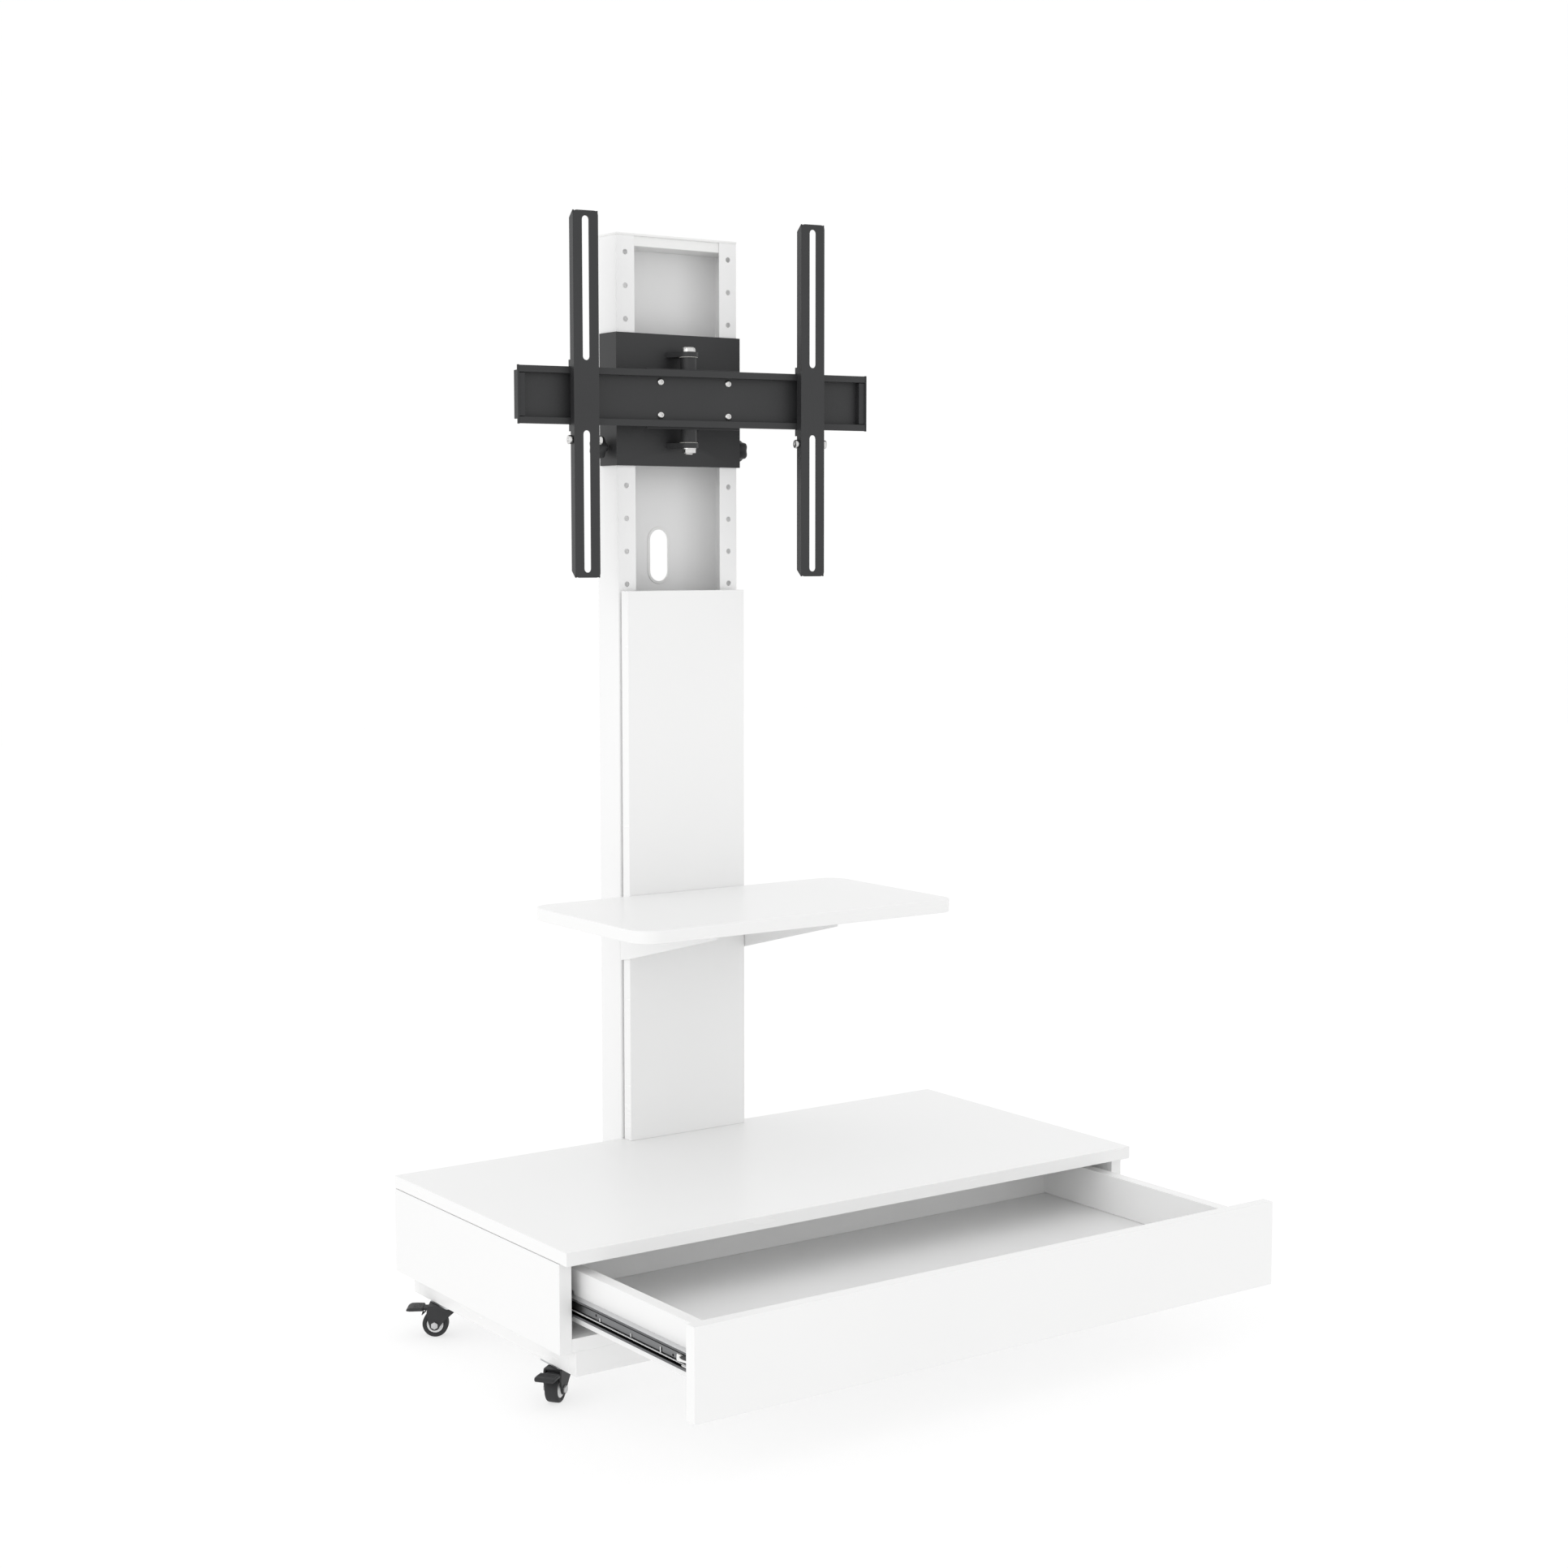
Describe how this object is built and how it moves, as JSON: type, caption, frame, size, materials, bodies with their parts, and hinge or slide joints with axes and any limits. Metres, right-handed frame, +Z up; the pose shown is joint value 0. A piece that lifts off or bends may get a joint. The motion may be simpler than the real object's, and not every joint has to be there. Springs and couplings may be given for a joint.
{
  "type": "tv stand with mount",
  "caption": "Wheeled media stand: low cabinet with one wide drawer, rear column with cover and shelf, and a swivelling height-adjustable screen mount.",
  "frame": {"origin": "on the floor, under the middle of the overall box at rest, drawer pulled open 240 mm", "axes": "+Z up, +Y towards the back (the column), +X to the right seen from the front; the drawer opens towards -Y"},
  "size_m": [0.823, 0.683, 1.309],
  "materials": {
    "white_laminate": "matt white melamine laminate on particle board",
    "white_hardboard": "white foil on thin hardboard",
    "white_steel": "white powder coat, fine texture",
    "black_steel": "black powder coat, satin",
    "slide_steel": "grey zinc-plated steel",
    "zinc_steel": "zinc-plated steel",
    "bright_steel": "bright nickel-plated steel",
    "black_plastic": "fine-textured black moulded plastic",
    "white_plastic": "white moulded plastic",
    "grey_plastic": "light grey moulded plastic",
    "tyre": "soft black rubber tread"
  },
  "bodies": {
    "cabinet": {"top_panel": "white_laminate", "side_panel_left": "white_laminate", "side_panel_right": "white_laminate", "bottom_panel": "white_laminate", "back_panel": "white_laminate", "plinth_front": "white_laminate", "plinth_rear": "white_laminate", "plinth_rail_left": "white_laminate", "plinth_rail_right": "white_laminate", "slide_outer_left": "slide_steel", "slide_outer_right": "slide_steel", "column_channel": "white_steel", "column_cover": "white_laminate", "column_cap": "white_plastic", "column_foot_bracket": "zinc_steel", "caster_plate_front_left": "zinc_steel", "caster_plate_front_right": "zinc_steel", "caster_plate_rear_left": "zinc_steel", "caster_plate_rear_right": "zinc_steel"},
    "drawer": {"drawer_front": "white_laminate", "drawer_side_left": "white_laminate", "drawer_side_right": "white_laminate", "drawer_back": "white_laminate", "drawer_bottom": "white_hardboard", "slide_inner_left": "slide_steel", "slide_inner_right": "slide_steel"},
    "ball_retainer_left": {"slide_ball_retainer_left": "bright_steel"},
    "ball_retainer_right": {"slide_ball_retainer_right": "bright_steel"},
    "release_lever_left": {"slide_release_lever_left": "white_plastic"},
    "release_lever_right": {"slide_release_lever_right": "white_plastic"},
    "shelf": {"shelf_bracket": "white_steel", "shelf_board": "white_laminate"},
    "carrier": {"mount_carrier": "black_steel", "swivel_pin": "bright_steel"},
    "knob_left": {"clamp_knob_left": "black_plastic"},
    "knob_right": {"clamp_knob_right": "black_plastic"},
    "mount_head": {"swivel_head": "black_steel", "crossbar": "black_steel"},
    "arm_left": {"screen_arm_left": "black_steel"},
    "arm_right": {"screen_arm_right": "black_steel"},
    "fork_front_left": {"caster_fork_front_left": "black_plastic", "caster_axle_front_left": "bright_steel"},
    "fork_front_right": {"caster_fork_front_right": "black_plastic", "caster_axle_front_right": "bright_steel"},
    "fork_rear_left": {"caster_fork_rear_left": "black_plastic", "caster_axle_rear_left": "bright_steel"},
    "fork_rear_right": {"caster_fork_rear_right": "black_plastic", "caster_axle_rear_right": "bright_steel"},
    "wheel_front_left": {"caster_tyre_front_left": "tyre", "caster_hub_front_left": "grey_plastic"},
    "wheel_front_right": {"caster_tyre_front_right": "tyre", "caster_hub_front_right": "grey_plastic"},
    "wheel_rear_left": {"caster_tyre_rear_left": "tyre", "caster_hub_rear_left": "grey_plastic"},
    "wheel_rear_right": {"caster_tyre_rear_right": "tyre", "caster_hub_rear_right": "grey_plastic"},
    "pedal_front_left": {"caster_pedal_front_left": "black_plastic"},
    "pedal_front_right": {"caster_pedal_front_right": "black_plastic"},
    "pedal_rear_left": {"caster_pedal_rear_left": "black_plastic"},
    "pedal_rear_right": {"caster_pedal_rear_right": "black_plastic"}
  },
  "joints": [
    {"name": "drawer_slide", "type": "slide", "parent": "cabinet", "child": "drawer", "axis": [0, -1, 0], "range_m": [-0.24, 0.02]},
    {"name": "ball_retainer_left_slide", "type": "slide", "parent": "cabinet", "child": "ball_retainer_left", "axis": [0, -1, 0], "range_m": [-0.12, 0.01]},
    {"name": "ball_retainer_right_slide", "type": "slide", "parent": "cabinet", "child": "ball_retainer_right", "axis": [0, -1, 0], "range_m": [-0.12, 0.01]},
    {"name": "release_lever_left_hinge", "type": "hinge", "parent": "drawer", "child": "release_lever_left", "pos_m": [-0.3772, -0.2895, 0.116], "axis": [-1, 0, 0], "range_deg": [0, 6], "stiffness_Nm_per_rad": 0.02},
    {"name": "release_lever_right_hinge", "type": "hinge", "parent": "drawer", "child": "release_lever_right", "pos_m": [0.3772, -0.2895, 0.116], "axis": [-1, 0, 0], "range_deg": [0, 6], "stiffness_Nm_per_rad": 0.02},
    {"name": "shelf_height", "type": "slide", "parent": "cabinet", "child": "shelf", "axis": [0, 0, 1], "range_m": [-0.12, 0.12]},
    {"name": "mount_height", "type": "slide", "parent": "cabinet", "child": "carrier", "axis": [0, 0, 1], "range_m": [-0.1, 0.1]},
    {"name": "knob_left_turn", "type": "hinge", "parent": "carrier", "child": "knob_left", "pos_m": [-0.1, 0.3135, 1.036], "axis": [1, 0, 0], "range_deg": [-540, 0]},
    {"name": "knob_right_turn", "type": "hinge", "parent": "carrier", "child": "knob_right", "pos_m": [0.1, 0.3135, 1.036], "axis": [-1, 0, 0], "range_deg": [-540, 0]},
    {"name": "mount_swivel", "type": "hinge", "parent": "carrier", "child": "mount_head", "pos_m": [0, 0.2705, 1.094], "axis": [0, 0, 1], "range_deg": [-11, 29]},
    {"name": "arm_left_slide", "type": "slide", "parent": "mount_head", "child": "arm_left", "axis": [0.9877, -0.1564, 0], "range_m": [-0.05, 0.1]},
    {"name": "arm_right_slide", "type": "slide", "parent": "mount_head", "child": "arm_right", "axis": [0.9877, -0.1564, 0], "range_m": [-0.1, 0.05]},
    {"name": "caster_swivel_front_left", "type": "hinge", "parent": "cabinet", "child": "fork_front_left", "pos_m": [-0.364, -0.0275, 0.03], "axis": [0, 0, 1], "continuous": true},
    {"name": "caster_swivel_front_right", "type": "hinge", "parent": "cabinet", "child": "fork_front_right", "pos_m": [0.364, -0.0275, 0.03], "axis": [0, 0, 1], "continuous": true},
    {"name": "caster_swivel_rear_left", "type": "hinge", "parent": "cabinet", "child": "fork_rear_left", "pos_m": [-0.364, 0.2285, 0.03], "axis": [0, 0, 1], "continuous": true},
    {"name": "caster_swivel_rear_right", "type": "hinge", "parent": "cabinet", "child": "fork_rear_right", "pos_m": [0.364, 0.2285, 0.03], "axis": [0, 0, 1], "continuous": true},
    {"name": "wheel_spin_front_left", "type": "hinge", "parent": "fork_front_left", "child": "wheel_front_left", "pos_m": [-0.3776, -0.0377, 0.015], "axis": [0.6, -0.8, 0], "continuous": true},
    {"name": "wheel_spin_front_right", "type": "hinge", "parent": "fork_front_right", "child": "wheel_front_right", "pos_m": [0.3776, -0.0377, 0.015], "axis": [0.6, 0.8, 0], "continuous": true},
    {"name": "wheel_spin_rear_left", "type": "hinge", "parent": "fork_rear_left", "child": "wheel_rear_left", "pos_m": [-0.37777, 0.23846, 0.015], "axis": [-0.5861, -0.8102, 0], "continuous": true},
    {"name": "wheel_spin_rear_right", "type": "hinge", "parent": "fork_rear_right", "child": "wheel_rear_right", "pos_m": [0.37777, 0.23846, 0.015], "axis": [-0.5861, 0.8102, 0], "continuous": true},
    {"name": "pedal_press_front_left", "type": "hinge", "parent": "fork_front_left", "child": "pedal_front_left", "pos_m": [-0.3736, -0.0347, 0.0334], "axis": [0.6, -0.8, 0], "range_deg": [0, 9]},
    {"name": "pedal_press_front_right", "type": "hinge", "parent": "fork_front_right", "child": "pedal_front_right", "pos_m": [0.3736, -0.0347, 0.0334], "axis": [0.6, 0.8, 0], "range_deg": [0, 9]},
    {"name": "pedal_press_rear_left", "type": "hinge", "parent": "fork_rear_left", "child": "pedal_rear_left", "pos_m": [-0.37372, 0.23553, 0.0334], "axis": [-0.5861, -0.8102, 0], "range_deg": [0, 9]},
    {"name": "pedal_press_rear_right", "type": "hinge", "parent": "fork_rear_right", "child": "pedal_rear_right", "pos_m": [0.37372, 0.23553, 0.0334], "axis": [-0.5861, 0.8102, 0], "range_deg": [0, 9]}
  ],
  "couplings": [
    {"joint": "ball_retainer_left_slide", "follows": "drawer_slide", "ratio": 0.5},
    {"joint": "ball_retainer_right_slide", "follows": "drawer_slide", "ratio": 0.5}
  ]
}
